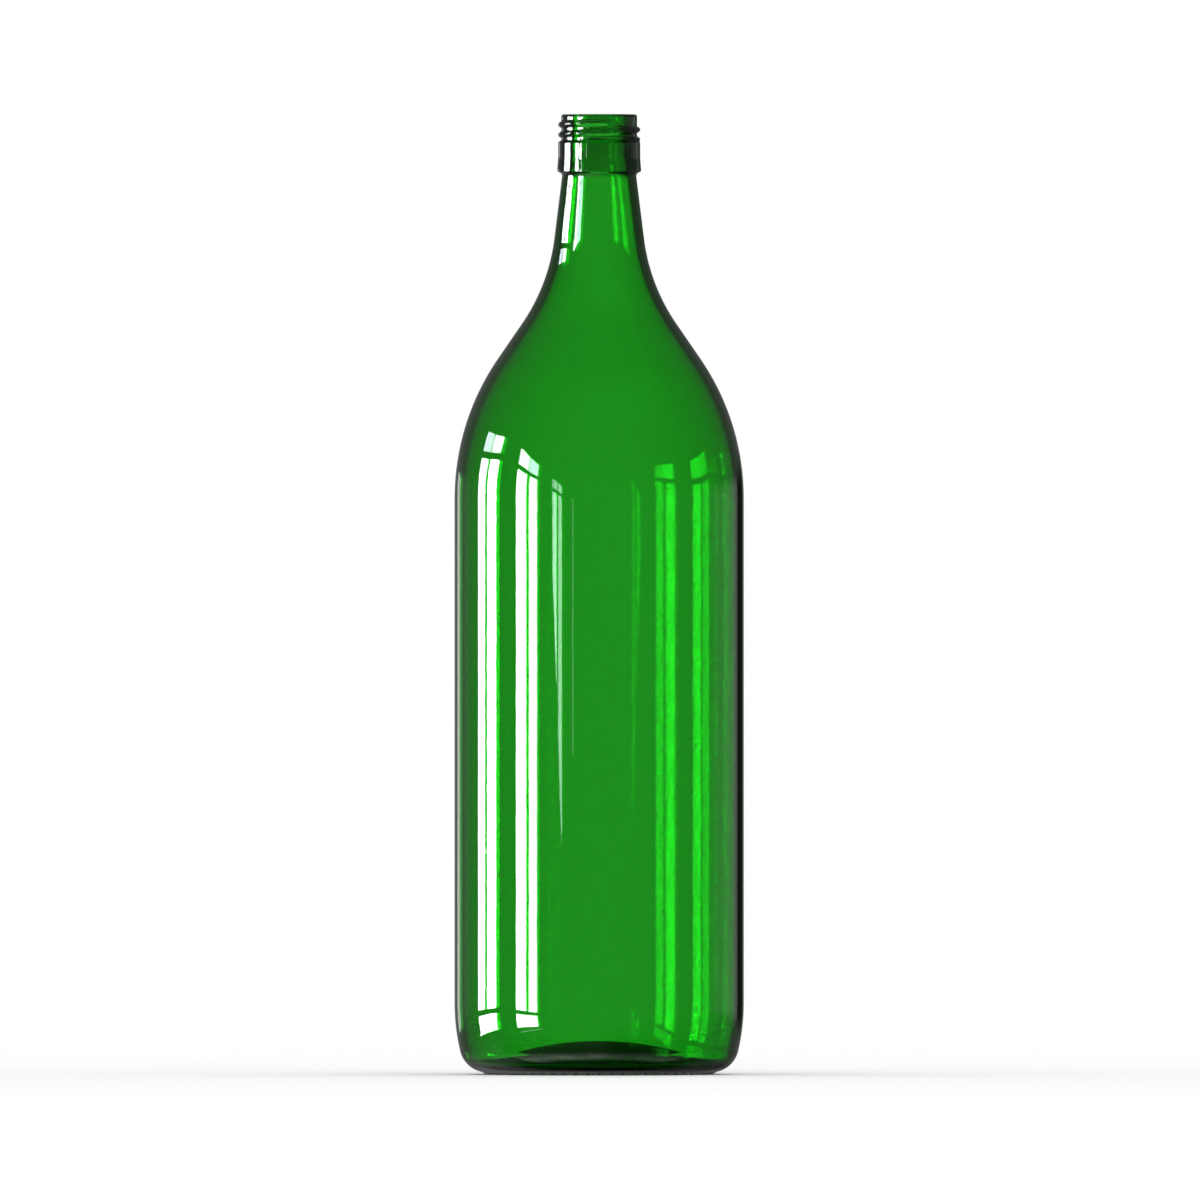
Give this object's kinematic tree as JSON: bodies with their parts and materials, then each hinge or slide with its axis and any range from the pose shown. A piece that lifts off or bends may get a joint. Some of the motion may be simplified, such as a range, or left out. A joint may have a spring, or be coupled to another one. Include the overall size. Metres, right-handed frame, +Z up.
{
  "type": "empty screw-neck glass wine bottle",
  "caption": "Tall green glass wine bottle, empty and open: round body, long sloping shoulder, tapered neck with roll-on screw finish and collar, shallow push-up base.",
  "frame": {"origin": "on the bottle's axis, in the plane that its bearing ring stands on", "axes": "+Z up the bottle's axis towards the mouth; +X to the right and -Y towards the viewer, both free round the axis"},
  "size_m": [0.097, 0.097, 0.3217],
  "materials": {
    "green_glass": "clear emerald green soda-lime glass, fire-polished, stippled on the bearing ring"
  },
  "bodies": {
    "root": {"bottle": "green_glass"}
  },
  "joints": []
}
